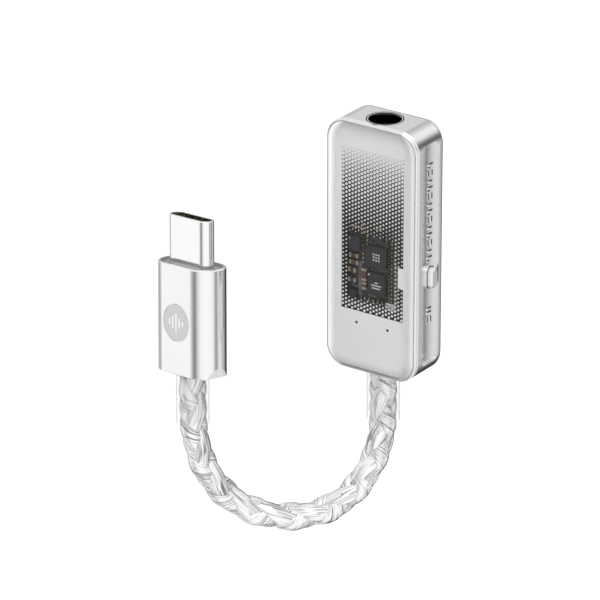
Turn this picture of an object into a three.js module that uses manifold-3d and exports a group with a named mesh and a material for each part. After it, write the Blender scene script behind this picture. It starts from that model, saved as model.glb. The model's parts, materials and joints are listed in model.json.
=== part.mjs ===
// A pocket USB-C dongle DAC: an aluminium tub with a see-through front cover, a 4.4 mm headphone jack
// in its top face, a push button in a groove on its right side, and a short braided lead to a USB-C plug.
// Millimetres, +Z up. The origin is the middle of the jack's mouth, in the plane of the top face.
import * as THREE from "three";
import { mergeVertices } from "three/addons/utils/BufferGeometryUtils.js";
import Module from "manifold-3d";

const wasm = await Module();
wasm.setup();

// ---------------------------------------------------------------- driving dimensions
const fit = 0.05; // clearance between pieces that fit into each other
const bodyWidth = 14.9;
const bodyHeight = 36.9;
const bodyBack = -3.7; // depths are measured from the jack's axis, positive towards the front cover
const rimFront = 3.3; // the tub's front rim, where the cover's edge begins
const coverFace = 3.7;
const cornerRadius = 3.1;
const rearFillet = 0.95; // along the two long rear edges
const rearTopShare = 0.42; // the top and bottom rear edges are rounder by this share of it
const rimChamfer = 0.2;
const revealBack = 2.56; // a fine V line runs round the sides just behind the rim
const revealFront = 3.0;
const revealCut = 0.16;
const wall = 1.0;
const endWall = 1.2;
const backWall = 0.95;
const ledgeDepth = 2.75; // the ledge inside the rim that the cover stands on
const rebateInset = 0.3; // the rim is this wide before its chamfer

const coverBack = 2.95;
const coverInset = rebateInset + 0.06;
const coverFlatInset = 2.1; // the flat middle starts this far in from the tub's outline

const windowHalfWidth = 5.1;
const windowTop = -4.0;
const windowBottom = -28.05;
const notchWidth = 0.85;
const notchHeight = 3.0;
const notchMiddle = -21.55;
const maskFront = coverBack - 0.01;
const maskBack = maskFront - 0.12;
const ledHeight = -29.8;
const ledSide = 2.58;
const ledHoleRadius = 0.2;

const boardFront = 1.75;
const boardBack = 1.25;
const boardTop = -2.6;
const boardBottom = -34.4;
const boardCorner = 1.8;

const screwHeight = -33.0;
const screwSides = [-4.4, 4.4];
const screwRadius = 0.45;
const screwHeadRadius = 0.85;
const screwTip = -1.2;
const postRadius = 1.0;
const screwHeadHeight = 0.4;

const jackRadius = 2.2; // a 4.4 mm plug
const jackTop = -1.5;
const jackBottom = -15.0;
const jackSide = 5.1;
const bushRadius = 2.6;
const bushMouthRadius = 2.42;
const tipPocketRadius = 1.0;
const tipPocketEnd = -19.4;
const contactTops = [-3.4, -8.8]; // two contacts on each side of the bore bear on the plug's rings
const contactLength = 3.9;
const contactWidth = 1.2;
const contactThickness = 0.25;
const contactSide = 2.6; // the contact's inner face, beside the bore
const contactNose = 0.6; // how far its bump stands in towards the plug

const grooveTop = -2.1;
const grooveBottom = -34.7;
const grooveMiddle = -0.25; // depth of the groove's centre line
const grooveWidth = 4.1;
const grooveDepth = 0.5;
const grooveFloorRadius = 6.5; // its floor is a little hollow across
const grooveLag = 0.45; // the hollow is deepest this far behind the centre line
const grooveCorner = 1.0;

const buttonHeight = -22.1;
const buttonDepth = -1.05; // nearer the groove's rear edge
const buttonLength = 3.1;
const buttonWidth = 1.7;
const buttonProud = 0.3;
const buttonChamfer = 0.28;
const buttonGap = 0.08;
const buttonFlange = 0.4;
const flangeThickness = 0.35;
const switchSide = 5.5; // the switch's outer face

const leadRadius = 2.0;
const glandRadius = 2.1;
const sleeveRadius = 2.4;
const sleeveBore = 2.3;
const leadGap = 0.3;
const bodySleeveLength = 8.0;
const plugSleeveLength = 7.2;

const plugWidth = 11.5;
const plugThickness = 5.9;
const plugLength = 15.5;
const plugWall = 0.8;
const plugRim = 0.4; // the raised lip round the dished top
const dishDepth = 0.45;
const plugBevel = 0.15;
const heelWidth = 0.65; // the slanting cut at each side of the cable end
const heelHeight = 1.45;
const plugFoot = [-21.8, -15.1, -37.7]; // the middle of the plug's cable end
const plugTurn = -13.5; // degrees about the vertical
const plugLean = -9.7; // degrees about leanAxis
const leanAxis = new THREE.Vector3(0.8211, 0.5707, 0);
const badgeRadius = 2.62;
const badgeDepth = 0.12;
const badgeHeight = 7.45;

const tipWidth = 8.25;
const tipThickness = 2.4;
const tipLength = 6.55;
const tipWall = 0.3;
const tipRoot = 12.0; // where the tip starts inside the plug's shell
const tongueEnd = 20.8; // where the tip's contact fingers end
const fingerDepth = 0.72; // from the tip's middle to a finger's inner face
const fingerThickness = 0.12;
const fingerPitch = 0.5;
const fingerCount = 12;

// The lead's centreline, from the body's bottom face round the bend to the plug.
const leadRoute = [
  [0, 0, -37.2],
  [0, 0, -40.2],
  [0, 0, -43.2],
  [0, 0, -44.9],
  [-0.3, -0.3, -48.3],
  [-1.1, -1.0, -51.5],
  [-2.4, -2.2, -54.6],
  [-4.1, -3.8, -57.0],
  [-6.3, -5.6, -58.6],
  [-8.7, -7.6, -59.3],
  [-11.2, -9.8, -59.1],
  [-13.6, -11.7, -58.3],
  [-15.8, -13.4, -56.7],
  [-17.7, -14.8, -54.4],
  [-19.3, -15.7, -51.5],
  [-20.3, -16.1, -48.3],
  [-21.0, -16.1, -44.9],
  [-21.25, -15.8, -42.6],
  [-21.5, -15.5, -40.2],
  [-21.75, -15.15, -38.0],
];

// ---------------------------------------------------------------- materials
function material(colour, roughness, metalness, opacity = 1) {
  return new THREE.MeshStandardMaterial({
    color: colour,
    roughness,
    metalness,
    opacity,
    transparent: opacity < 1,
  });
}

const finishes = {
  satinAluminium: material(0xd9dadb, 0.35, 1),
  clearCover: material(0xf4f6f7, 0.05, 0, 0.3),
  whitePrint: material(0xe2e2e2, 0.5, 0),
  adhesive: material(0x202020, 0.8, 0),
  boardLacquer: material(0x20211f, 0.45, 0),
  chipResin: material(0x26262a, 0.5, 0),
  ceramic: material(0x6b4433, 0.5, 0),
  blackPlastic: material(0x121212, 0.5, 0),
  darkChrome: material(0x3a3a3d, 0.15, 1),
  gold: material(0xc9a24e, 0.3, 1),
  steel: material(0xc8c9cb, 0.2, 1),
  led: material(0xf0f0e8, 0.3, 0),
  clearSleeve: material(0xf2f4f5, 0.3, 0, 0.45),
  silverLitz: material(0xcfd0d1, 0.3, 1),
  badgeGrey: material(0xa9abad, 0.6, 0.6),
};

// ---------------------------------------------------------------- solids
function toSolid(geometry) {
  const bare = new THREE.BufferGeometry();
  const flat = geometry.index ? geometry.toNonIndexed() : geometry;
  bare.setAttribute("position", flat.getAttribute("position"));
  const merged = mergeVertices(bare, 1e-4);
  return new wasm.Manifold(
    new wasm.Mesh({
      numProp: 3,
      vertProperties: new Float32Array(merged.attributes.position.array),
      triVerts: new Uint32Array(merged.index.array),
    }),
  );
}

function toGeometry(solid) {
  const mesh = solid.getMesh();
  const geometry = new THREE.BufferGeometry();
  geometry.setAttribute("position", new THREE.BufferAttribute(mesh.vertProperties, 3));
  geometry.setIndex(new THREE.BufferAttribute(mesh.triVerts, 1));
  return geometry;
}

function cut(geometry, ...tools) {
  return toGeometry(tools.reduce((left, tool) => left.subtract(toSolid(tool)), toSolid(geometry)));
}

function join(geometry, ...others) {
  return toGeometry(others.reduce((sum, other) => sum.add(toSolid(other)), toSolid(geometry)));
}

function common(a, b) {
  return toGeometry(toSolid(a).intersect(toSolid(b)));
}

// A box given by its two extreme values along each axis.
function block([x0, x1], [y0, y1], [z0, z1]) {
  const box = new THREE.BoxGeometry(x1 - x0, y1 - y0, z1 - z0);
  return box.translate((x0 + x1) / 2, (y0 + y1) / 2, (z0 + z1) / 2);
}

// A round bar along y between two heights.
function barUp(radius, y0, y1, x = 0, z = 0, sides = 24) {
  return new THREE.CylinderGeometry(radius, radius, y1 - y0, sides).translate(x, (y0 + y1) / 2, z);
}

// A round bar along z between two depths.
function barOut(radius, z0, z1, x = 0, y = 0, sides = 24) {
  const bar = new THREE.CylinderGeometry(radius, radius, z1 - z0, sides).rotateX(Math.PI / 2);
  return bar.translate(x, y, (z0 + z1) / 2);
}

// A ring turned about the y axis from pairs of radius and height.
function turned(profile, sides = 32) {
  const closed = [...profile, profile[0]];
  return new THREE.LatheGeometry(
    closed.map(([radius, height]) => new THREE.Vector2(radius, height)),
    sides,
  );
}

// Corner points of a rounded rectangle, anticlockwise, centred on the origin.
function roundedOutline(halfWidth, halfHeight, radius, arcSteps = 6) {
  const points = [];
  for (const [signX, signY, start] of [[1, 1, 0], [-1, 1, 90], [-1, -1, 180], [1, -1, 270]]) {
    for (let step = 0; step <= arcSteps; step++) {
      const angle = THREE.MathUtils.degToRad(start + (90 * step) / arcSteps);
      const x = signX * (halfWidth - radius) + radius * Math.cos(angle);
      const y = signY * (halfHeight - radius) + radius * Math.sin(angle);
      points.push([x, y]);
    }
  }
  return points;
}

// A closed solid through a stack of outlines, each given with its height; all have as many points.
function loft(layers) {
  const count = layers[0].outline.length;
  const positions = layers.flatMap(({ outline, at }) => outline.flatMap(([x, y]) => [x, y, at]));
  const index = [];
  for (let layer = 0; layer + 1 < layers.length; layer++) {
    for (let i = 0; i < count; i++) {
      const a = layer * count + i;
      const b = layer * count + ((i + 1) % count);
      index.push(a, b, b + count, a, b + count, a + count);
    }
  }
  const last = (layers.length - 1) * count;
  for (let i = 1; i + 1 < count; i++) {
    index.push(0, i + 1, i, last, last + i, last + i + 1);
  }
  const geometry = new THREE.BufferGeometry();
  geometry.setAttribute("position", new THREE.Float32BufferAttribute(positions, 3));
  geometry.setIndex(index);
  return geometry;
}

// A slab with the tub's outline, drawn in by insetX at the sides and insetY at the ends.
function bodyLayer(at, insetX, insetY = insetX) {
  const outline = roundedOutline(
    bodyWidth / 2 - insetX,
    bodyHeight / 2 - insetY,
    Math.max(cornerRadius - Math.max(insetX, insetY), 0.2),
  );
  return { at, outline: outline.map(([x, y]) => [x, y - bodyHeight / 2]) };
}

function mesh(name, geometry, finish) {
  const made = new THREE.Mesh(geometry, finish);
  made.name = name;
  return made;
}

// ---------------------------------------------------------------- the body's pieces
// Inside the body group x is right, y is up and z comes out of the front.
const innerSide = bodyWidth / 2 - wall;
const grooveFloor = bodyWidth / 2 - grooveDepth;

// The button's outline, grown or shrunk all round, between layers of depth and growth along x.
function pill(layers) {
  const upright = loft(
    layers.map(([at, grow]) => {
      const [halfWidth, halfLength] = [buttonWidth / 2 + grow, buttonLength / 2 + grow];
      return { at, outline: roundedOutline(halfWidth, halfLength, halfWidth, 5) };
    }),
  );
  return upright.rotateY(Math.PI / 2).translate(0, buttonHeight, buttonDepth);
}

// The shallow hollow along the right side: a rounded slot whose floor is part of a wide cylinder.
function grooveTool() {
  const length = grooveTop - grooveBottom;
  const outline = roundedOutline(grooveWidth / 2, length / 2, grooveCorner, 4);
  const slot = loft([
    { at: grooveFloor - 1, outline },
    { at: bodyWidth, outline },
  ]);
  slot.rotateY(Math.PI / 2).translate(0, (grooveTop + grooveBottom) / 2, grooveMiddle);
  const middle = grooveFloor + grooveFloorRadius;
  const [low, high] = [grooveBottom - 1, grooveTop + 1];
  return common(slot, barUp(grooveFloorRadius, low, high, middle, grooveMiddle - grooveLag, 96));
}

function mainHousing() {
  const layers = [];
  const filletSteps = 4;
  for (let step = 0; step <= filletSteps; step++) {
    const angle = ((Math.PI / 2) * step) / filletSteps;
    const inset = rearFillet * (1 - Math.sin(angle));
    layers.push(bodyLayer(bodyBack + rearFillet * (1 - Math.cos(angle)), inset, inset * rearTopShare));
  }
  layers.push(
    bodyLayer(revealBack, 0),
    bodyLayer((revealBack + revealFront) / 2, revealCut),
    bodyLayer(revealFront, 0),
    bodyLayer(rimFront - rimChamfer, 0),
    bodyLayer(rimFront, rimChamfer),
  );
  const cavity = loft([
    bodyLayer(bodyBack + backWall, wall, endWall),
    bodyLayer(rimFront + 1, wall, endWall),
  ]);
  const rebate = loft([bodyLayer(ledgeDepth, rebateInset), bodyLayer(rimFront + 1, rebateInset)]);
  const shell = cut(loft(layers), cavity, rebate);
  const floor = bodyBack + backWall;
  const posts = screwSides.map((x) => barOut(postRadius, floor - 0.2, boardBack - fit, x, screwHeight));
  const screwHoles = screwSides.map((x) =>
    barOut(screwRadius + fit, screwTip - 0.3, boardBack + 1, x, screwHeight, 12),
  );
  return cut(
    join(shell, ...posts),
    grooveTool(),
    barUp(bushRadius + fit, -endWall - 1, 1, 0, 0, 32),
    barUp(glandRadius + fit, -bodyHeight - 1, -bodyHeight + endWall + 1, 0, 0, 32),
    pill([[innerSide - 1, buttonGap], [bodyWidth, buttonGap]]),
    ...screwHoles,
  );
}

function frontCover() {
  const layers = [bodyLayer(coverBack, coverInset), bodyLayer(rimFront, coverInset)];
  const edgeSteps = 5;
  for (let step = 1; step <= edgeSteps; step++) {
    const angle = ((Math.PI / 2) * step) / edgeSteps;
    const inset = coverFlatInset - (coverFlatInset - coverInset) * Math.cos(angle);
    layers.push(bodyLayer(rimFront + (coverFace - rimFront) * Math.sin(angle), inset));
  }
  return loft(layers);
}

// The print is white all over but for the window, the notch beside the switch and the lights' holes.
function printMask() {
  const sheet = loft([bodyLayer(maskBack, coverInset + 0.1), bodyLayer(maskFront, coverInset + 0.1)]);
  const opening = block(
    [-windowHalfWidth, windowHalfWidth],
    [windowBottom, windowTop],
    [maskBack - 1, maskFront + 1],
  );
  const notch = block(
    [windowHalfWidth - notchWidth, windowHalfWidth + 1],
    [notchMiddle - notchHeight / 2, notchMiddle + notchHeight / 2],
    [maskBack - 2, maskFront + 2],
  );
  const holes = [-ledSide, ledSide].map((x) =>
    barOut(ledHoleRadius, maskBack - 1, maskFront + 1, x, ledHeight, 8),
  );
  return cut(sheet, cut(opening, notch), ...holes);
}

function coverGasket() {
  const [back, front] = [ledgeDepth, maskBack - 0.01];
  const ring = loft([bodyLayer(back, coverInset + 0.1), bodyLayer(front, coverInset + 0.1)]);
  return cut(ring, loft([bodyLayer(back - 1, wall), bodyLayer(front + 1, wall)]));
}

function circuitBoard() {
  const side = innerSide - 0.25;
  const [notchSide, notchFloor] = [jackSide + 0.3, jackBottom - 0.2];
  const arcMiddle = boardBottom + boardCorner;
  const outline = new THREE.Shape();
  outline.moveTo(-side, boardTop);
  outline.lineTo(-side, arcMiddle);
  outline.absarc(-side + boardCorner, arcMiddle, boardCorner, Math.PI, 1.5 * Math.PI, false);
  outline.absarc(side - boardCorner, arcMiddle, boardCorner, 1.5 * Math.PI, 2 * Math.PI, false);
  outline.lineTo(side, boardTop);
  outline.lineTo(notchSide, boardTop);
  outline.lineTo(notchSide, notchFloor);
  outline.lineTo(-notchSide, notchFloor);
  outline.lineTo(-notchSide, boardTop);
  const board = new THREE.ExtrudeGeometry(outline, {
    depth: boardFront - boardBack,
    bevelEnabled: false,
    curveSegments: 4,
  });
  board.translate(0, 0, boardBack);
  const holes = screwSides.map((x) =>
    barOut(screwRadius + 0.1, boardBack - 1, boardFront + 1, x, screwHeight, 12),
  );
  return cut(board, ...holes);
}

// Parts soldered to the front of the board: name, centre x, centre y, width, height, thickness, finish.
const boardParts = [
  ["dac_chip", 0.35, -19.6, 3.2, 3.2, 0.75, "chipResin"],
  ["processor_chip", 0.38, -23.65, 2.9, 3.3, 0.75, "chipResin"],
  ["amplifier_chip", -3.4, -18.4, 2.0, 2.2, 0.7, "chipResin"],
  ["regulator_chip", 0.45, -16.7, 1.9, 1.3, 0.6, "chipResin"],
  ["power_chip", -3.7, -26.2, 1.3, 1.6, 0.6, "chipResin"],
  ["oscillator", 2.6, -26.6, 1.6, 1.2, 0.6, "steel"],
  ["capacitor_1", -3.6, -20.3, 1.4, 0.6, 0.45, "ceramic"],
  ["capacitor_2", -3.6, -21.3, 1.4, 0.6, 0.45, "ceramic"],
  ["capacitor_3", -3.9, -22.5, 1.2, 0.6, 0.45, "ceramic"],
  ["capacitor_4", -3.9, -24.0, 1.2, 0.6, 0.45, "ceramic"],
  ["capacitor_5", -1.8, -22.7, 0.8, 1.8, 0.6, "ceramic"],
  ["capacitor_6", -1.8, -24.4, 0.7, 1.1, 0.5, "ceramic"],
  ["left_led", -ledSide, ledHeight, 1.0, 0.6, 0.45, "led"],
  ["right_led", ledSide, ledHeight, 1.0, 0.6, 0.45, "led"],
];

function boardPart([name, x, y, width, height, thickness, finish]) {
  const shape = block(
    [x - width / 2, x + width / 2],
    [y - height / 2, y + height / 2],
    [boardFront, boardFront + thickness],
  );
  return mesh(name, shape, finishes[finish]);
}

function boardScrew(x) {
  const seat = boardFront + 0.02;
  const shank = barOut(screwRadius, screwTip, boardFront + 0.1, x, screwHeight, 12);
  const head = barOut(screwHeadRadius, seat, seat + screwHeadHeight, x, screwHeight, 16);
  const slotFloor = seat + screwHeadHeight / 2;
  const slot = block([x - 1, x + 1], [screwHeight - 0.1, screwHeight + 0.1], [slotFloor, slotFloor + 1]);
  return cut(join(shank, head), slot);
}

function jackBush() {
  return turned([
    [jackRadius, jackTop + fit],
    [bushRadius, jackTop + fit],
    [bushRadius, -0.05],
    [bushRadius - 0.05, 0],
    [bushMouthRadius, 0],
    [jackRadius, -0.3],
  ]);
}

// The moulding has a bore for the plug, a pocket for its tip and a slot for each side contact.
function jackBody() {
  const shape = join(
    block([-jackSide, jackSide], [jackBottom, jackTop], [-2.6, 2.45]),
    block([-1.6, 1.6], [tipPocketEnd - 0.6, jackBottom + 1], [-1.6, 1.2]),
  );
  const slotWidth = contactWidth / 2 + 0.15;
  const slots = contactTops.flatMap((y) =>
    [-1, 1].map((side) => {
      const reach = [side * 1.8, side * 3.5].sort((a, b) => a - b);
      return block(reach, [y - contactLength - 0.3, y + 0.3], [-slotWidth, slotWidth]);
    }),
  );
  return cut(
    shape,
    barUp(jackRadius, jackBottom + 0.5, 1, 0, 0, 32),
    barUp(tipPocketRadius, tipPocketEnd, 1, 0, 0, 16),
    ...slots,
  );
}

// A bent leaf: straight from its root at the top, with a bump towards the bore near its free end.
function jackContact(side, y) {
  const [inner, outer] = [contactSide, contactSide + contactThickness];
  const profile = [
    [inner, y],
    [inner, y - 1.9],
    [inner - contactNose, y - 2.8],
    [inner, y - 3.6],
    [inner, y - contactLength],
    [outer, y - contactLength],
    [outer, y - 3.5],
    [outer - contactNose, y - 2.8],
    [outer, y - 2.0],
    [outer, y],
  ];
  const outline = new THREE.Shape(profile.map(([x, height]) => new THREE.Vector2(side * x, height)));
  const leaf = new THREE.ExtrudeGeometry(outline, { depth: contactWidth, bevelEnabled: false });
  return leaf.translate(0, 0, -contactWidth / 2);
}

const flangeInner = innerSide - 0.1 - flangeThickness;

function sideButton() {
  const face = bodyWidth / 2 + buttonProud;
  const cap = pill([[flangeInner + 0.1, 0], [face - buttonChamfer, 0], [face, -buttonChamfer]]);
  const flange = pill([[flangeInner, buttonFlange], [flangeInner + flangeThickness, buttonFlange]]);
  return join(cap, flange);
}

// A side-push switch on the back of the board; its plunger just meets the button's flange.
function switchBase() {
  const housing = block([3.6, switchSide], [buttonHeight - 1.6, buttonHeight + 1.6], [-2.2, boardBack]);
  const socket = block(
    [4.8, switchSide + 1],
    [buttonHeight - 0.8, buttonHeight + 0.8],
    [buttonDepth - 0.6, buttonDepth + 0.6],
  );
  return cut(housing, socket);
}

function switchPlunger() {
  return block(
    [5.2, flangeInner - 0.02],
    [buttonHeight - 0.7, buttonHeight + 0.7],
    [buttonDepth - 0.5, buttonDepth + 0.5],
  );
}

// The bush that grips the lead where it enters the body.
function cableGland() {
  const bottom = -bodyHeight + 0.3;
  const inside = -bodyHeight + endWall + fit;
  return turned([
    [0.9, bottom],
    [glandRadius, bottom],
    [glandRadius, inside],
    [glandRadius + 0.5, inside],
    [glandRadius + 0.5, inside + 0.6],
    [0.9, inside + 0.6],
  ], 24);
}

// The lead's four cores run from the gland to pads on the back of the board.
function coreWire(x) {
  const radius = 0.28;
  const section = new THREE.Shape().absarc(0, 0, radius, 0, 2 * Math.PI, false);
  const path = new THREE.CatmullRomCurve3([
    new THREE.Vector3(x * 0.3, -34.3, 0),
    new THREE.Vector3(x * 0.6, -33.2, 0),
    new THREE.Vector3(x, -32.2, 0.5),
    new THREE.Vector3(x, -31.0, boardBack - radius - 0.1),
  ]);
  return new THREE.ExtrudeGeometry(section, { steps: 6, curveSegments: 2, extrudePath: path });
}

// ---------------------------------------------------------------- the plug's pieces
// Inside the plug group y runs along the plug towards its tip and z comes out of its marked side.
function stadium(width, thickness, arcSteps = 6) {
  return roundedOutline(width / 2, thickness / 2, thickness / 2, arcSteps);
}

// Turns a loft along z into one along y, keeping its outline's x.
function standing(geometry) {
  return geometry.rotateX(-Math.PI / 2);
}

// A stadium-shaped bar along the plug between two heights.
function stadiumBar(width, thickness, y0, y1, arcSteps = 8) {
  const outline = stadium(width, thickness, arcSteps);
  return standing(loft([{ at: y0, outline }, { at: y1, outline }]));
}

// The wedge that the slanting cut takes off one side of the cable end.
function heelWedge(side) {
  const outside = plugWidth / 2 + 1;
  const wedge = new THREE.Shape([
    new THREE.Vector2(side * (plugWidth / 2 - heelWidth), -0.001),
    new THREE.Vector2(side * outside, -0.001),
    new THREE.Vector2(side * outside, heelHeight * (1 + 1 / heelWidth)),
  ]);
  const tool = new THREE.ExtrudeGeometry(wedge, { depth: 2 * plugThickness, bevelEnabled: false });
  return tool.translate(0, 0, -plugThickness);
}

function plugShell() {
  const outer = standing(
    loft([
      { at: 0, outline: stadium(plugWidth, plugThickness, 8) },
      { at: plugLength - plugBevel, outline: stadium(plugWidth, plugThickness, 8) },
      { at: plugLength, outline: stadium(plugWidth - 2 * plugBevel, plugThickness - 2 * plugBevel, 8) },
    ]),
  );
  const insideWidth = plugWidth - 2 * plugWall - 0.4;
  const insideThickness = plugThickness - 2 * plugWall;
  const roof = plugLength - dishDepth - plugWall;
  const dishFloor = plugLength - dishDepth;
  return cut(
    outer,
    stadiumBar(insideWidth, insideThickness, plugWall, roof, 6),
    stadiumBar(plugWidth - 2 * plugRim, plugThickness - 2 * plugRim, dishFloor, plugLength + 1),
    stadiumBar(tipWidth + 2 * fit, tipThickness + 2 * fit, plugLength - 3, plugLength + 1, 6),
    barUp(leadRadius + 0.2, -1, plugWall + 1, 0, 0, 24),
    barOut(badgeRadius + fit, plugThickness / 2 - badgeDepth, plugThickness, 0, badgeHeight, 40),
    heelWedge(-1),
    heelWedge(1),
  );
}

function plugBadge() {
  const back = plugThickness / 2 - badgeDepth + 0.02;
  return barOut(badgeRadius, back, plugThickness / 2, 0, badgeHeight, 40);
}

function usbTipShell() {
  const top = plugLength + tipLength;
  const bore = stadiumBar(tipWidth - 2 * tipWall, tipThickness - 2 * tipWall, tipRoot - 1, top + 1);
  return cut(stadiumBar(tipWidth, tipThickness, tipRoot, top), bore);
}

function usbTipCore() {
  const halfThickness = tipThickness / 2 - tipWall - fit;
  return block([-3.1, 3.1], [tipRoot + 0.2, 16.0], [-halfThickness, halfThickness]);
}

// Twelve fingers on one bar, against one wall of the tip.
function usbContactRow(side) {
  const depth = [side * fingerDepth, side * (fingerDepth + fingerThickness)].sort((a, b) => a - b);
  const fingers = Array.from({ length: fingerCount }, (_, i) => {
    const x = (i - (fingerCount - 1) / 2) * fingerPitch;
    return block([x - 0.12, x + 0.12], [16.3, tongueEnd], depth);
  });
  return join(block([-2.9, 2.9], [16.05, 16.5], depth), ...fingers);
}

function usbLatch(side) {
  const reach = [side * 3.45, side * 3.65].sort((a, b) => a - b);
  return block(reach, [16.0, tongueEnd - 0.4], [-0.3, 0.3]);
}

function plugGland() {
  return turned([
    [0.9, plugWall + 0.05],
    [2.05, plugWall + 0.05],
    [2.05, plugWall + 2.0],
    [0.9, plugWall + 2.0],
  ], 20);
}

// ---------------------------------------------------------------- the lead
function sleeve(length) {
  return turned([
    [sleeveBore, 0],
    [sleeveRadius, 0],
    [sleeveRadius, length],
    [sleeveBore, length],
  ], 24);
}

function audioLead() {
  const section = new THREE.Shape().absarc(0, 0, leadRadius, 0, 2 * Math.PI, false);
  const path = new THREE.CatmullRomCurve3(leadRoute.map((point) => new THREE.Vector3(...point)));
  return new THREE.ExtrudeGeometry(section, { steps: 36, curveSegments: 4, extrudePath: path });
}

// ---------------------------------------------------------------- assembly
const dongle = new THREE.Group();

const body = new THREE.Group();
body.rotation.x = Math.PI / 2;
body.add(
  mesh("main_housing", mainHousing(), finishes.satinAluminium),
  mesh("front_cover", frontCover(), finishes.clearCover),
  mesh("print_mask", printMask(), finishes.whitePrint),
  mesh("cover_gasket", coverGasket(), finishes.adhesive),
  mesh("circuit_board", circuitBoard(), finishes.boardLacquer),
  ...boardParts.map(boardPart),
  mesh("left_board_screw", boardScrew(screwSides[0]), finishes.steel),
  mesh("right_board_screw", boardScrew(screwSides[1]), finishes.steel),
  mesh("jack_bush", jackBush(), finishes.darkChrome),
  mesh("jack_body", jackBody(), finishes.blackPlastic),
  mesh("left_upper_contact", jackContact(-1, contactTops[0]), finishes.gold),
  mesh("right_upper_contact", jackContact(1, contactTops[0]), finishes.gold),
  mesh("left_lower_contact", jackContact(-1, contactTops[1]), finishes.gold),
  mesh("right_lower_contact", jackContact(1, contactTops[1]), finishes.gold),
  mesh("side_button", sideButton(), finishes.satinAluminium),
  mesh("switch_base", switchBase(), finishes.blackPlastic),
  mesh("switch_plunger", switchPlunger(), finishes.blackPlastic),
  mesh("cable_gland", cableGland(), finishes.blackPlastic),
  ...[-1.8, -0.6, 0.6, 1.8].map((x, i) => mesh(`core_wire_${i + 1}`, coreWire(x), finishes.whitePrint)),
);
const bodySleeve = mesh("body_end_sleeve", sleeve(bodySleeveLength), finishes.clearSleeve);
bodySleeve.position.y = -bodyHeight - leadGap - bodySleeveLength;
body.add(bodySleeve);
dongle.add(body);

const plug = new THREE.Group();
plug.position.set(...plugFoot);
plug.quaternion.setFromAxisAngle(leanAxis.clone().normalize(), THREE.MathUtils.degToRad(plugLean));
plug.rotateZ(THREE.MathUtils.degToRad(plugTurn));
plug.rotateX(Math.PI / 2);
plug.add(
  mesh("plug_shell", plugShell(), finishes.satinAluminium),
  mesh("plug_badge", plugBadge(), finishes.badgeGrey),
  mesh("usb_tip_shell", usbTipShell(), finishes.steel),
  mesh("usb_tip_core", usbTipCore(), finishes.blackPlastic),
  mesh("front_contact_row", usbContactRow(1), finishes.gold),
  mesh("back_contact_row", usbContactRow(-1), finishes.gold),
  mesh("left_tip_latch", usbLatch(-1), finishes.steel),
  mesh("right_tip_latch", usbLatch(1), finishes.steel),
  mesh("plug_board", block([-3.1, 3.1], [3.2, tipRoot - 0.2], [-0.3, 0.3]), finishes.boardLacquer),
  mesh("plug_chip", block([-1.1, 1.1], [6.0, 8.2], [0.3 + 0.02, 1.0]), finishes.chipResin),
  mesh("plug_gland", plugGland(), finishes.blackPlastic),
);
const plugSleeve = mesh("plug_end_sleeve", sleeve(plugSleeveLength), finishes.clearSleeve);
plugSleeve.position.y = -leadGap - plugSleeveLength;
plug.add(plugSleeve);
dongle.add(plug);

dongle.add(mesh("audio_lead", audioLead(), finishes.silverLitz));

export default dongle;
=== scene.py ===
"""Looks for the pocket dongle DAC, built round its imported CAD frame. Metres, +Z up, the front towards -Y."""

import json
import math

import bmesh
import bpy
from mathutils import Matrix, Vector


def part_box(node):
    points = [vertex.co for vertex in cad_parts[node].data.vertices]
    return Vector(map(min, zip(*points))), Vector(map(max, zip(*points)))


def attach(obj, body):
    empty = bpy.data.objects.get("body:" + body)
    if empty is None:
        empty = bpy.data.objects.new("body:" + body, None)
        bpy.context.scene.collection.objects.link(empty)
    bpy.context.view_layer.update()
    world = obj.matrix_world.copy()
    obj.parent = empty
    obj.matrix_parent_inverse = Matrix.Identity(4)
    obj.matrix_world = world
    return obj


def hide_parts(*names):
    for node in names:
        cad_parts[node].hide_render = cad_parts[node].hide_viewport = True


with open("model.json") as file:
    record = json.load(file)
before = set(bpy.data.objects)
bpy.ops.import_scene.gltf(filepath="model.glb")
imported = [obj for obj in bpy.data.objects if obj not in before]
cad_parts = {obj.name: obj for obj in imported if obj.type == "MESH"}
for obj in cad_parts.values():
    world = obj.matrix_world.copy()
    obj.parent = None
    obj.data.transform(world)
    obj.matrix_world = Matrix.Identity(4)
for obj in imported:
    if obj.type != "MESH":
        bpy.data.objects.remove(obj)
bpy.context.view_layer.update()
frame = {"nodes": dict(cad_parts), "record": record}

MM = 0.001
BODY = "dongle"

# ---------------------------------------------------------------- places and sizes, in millimetres
tub_low, tub_high = (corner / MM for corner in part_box("main_housing"))
cover_low, cover_high = (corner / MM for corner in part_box("front_cover"))
board_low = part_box("circuit_board")[0] / MM
half_width = tub_high.x
body_height = -tub_low.z
rim_front = -tub_low.y
body_back = -tub_high.y
cover_face = -cover_low.y
cover_back = -cover_high.y
board_front = -board_low.y
corner_radius = 3.1
rear_fillet, rear_top_share = 0.95, 0.42  # the back edge is rounder at the sides than at the ends
rim_chamfer = 0.2
rebate_inset, ledge_depth = 0.3, 2.75  # the step that the cover lies in
cover_inset, cover_flat_inset = 0.36, 2.1
wall, end_wall, back_wall = 1.0, 1.2, 0.95
reveal_back, reveal_front, reveal_cut = 2.56, 3.0, 0.16  # the fine V line behind the rim

window_half_width = 5.1
window_top, window_bottom = -4.0, -28.05
notch_width, notch_height, notch_middle = 0.85, 3.0, -21.55
led_side, led_height, led_hole = 2.58, -29.8, 0.22

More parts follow.
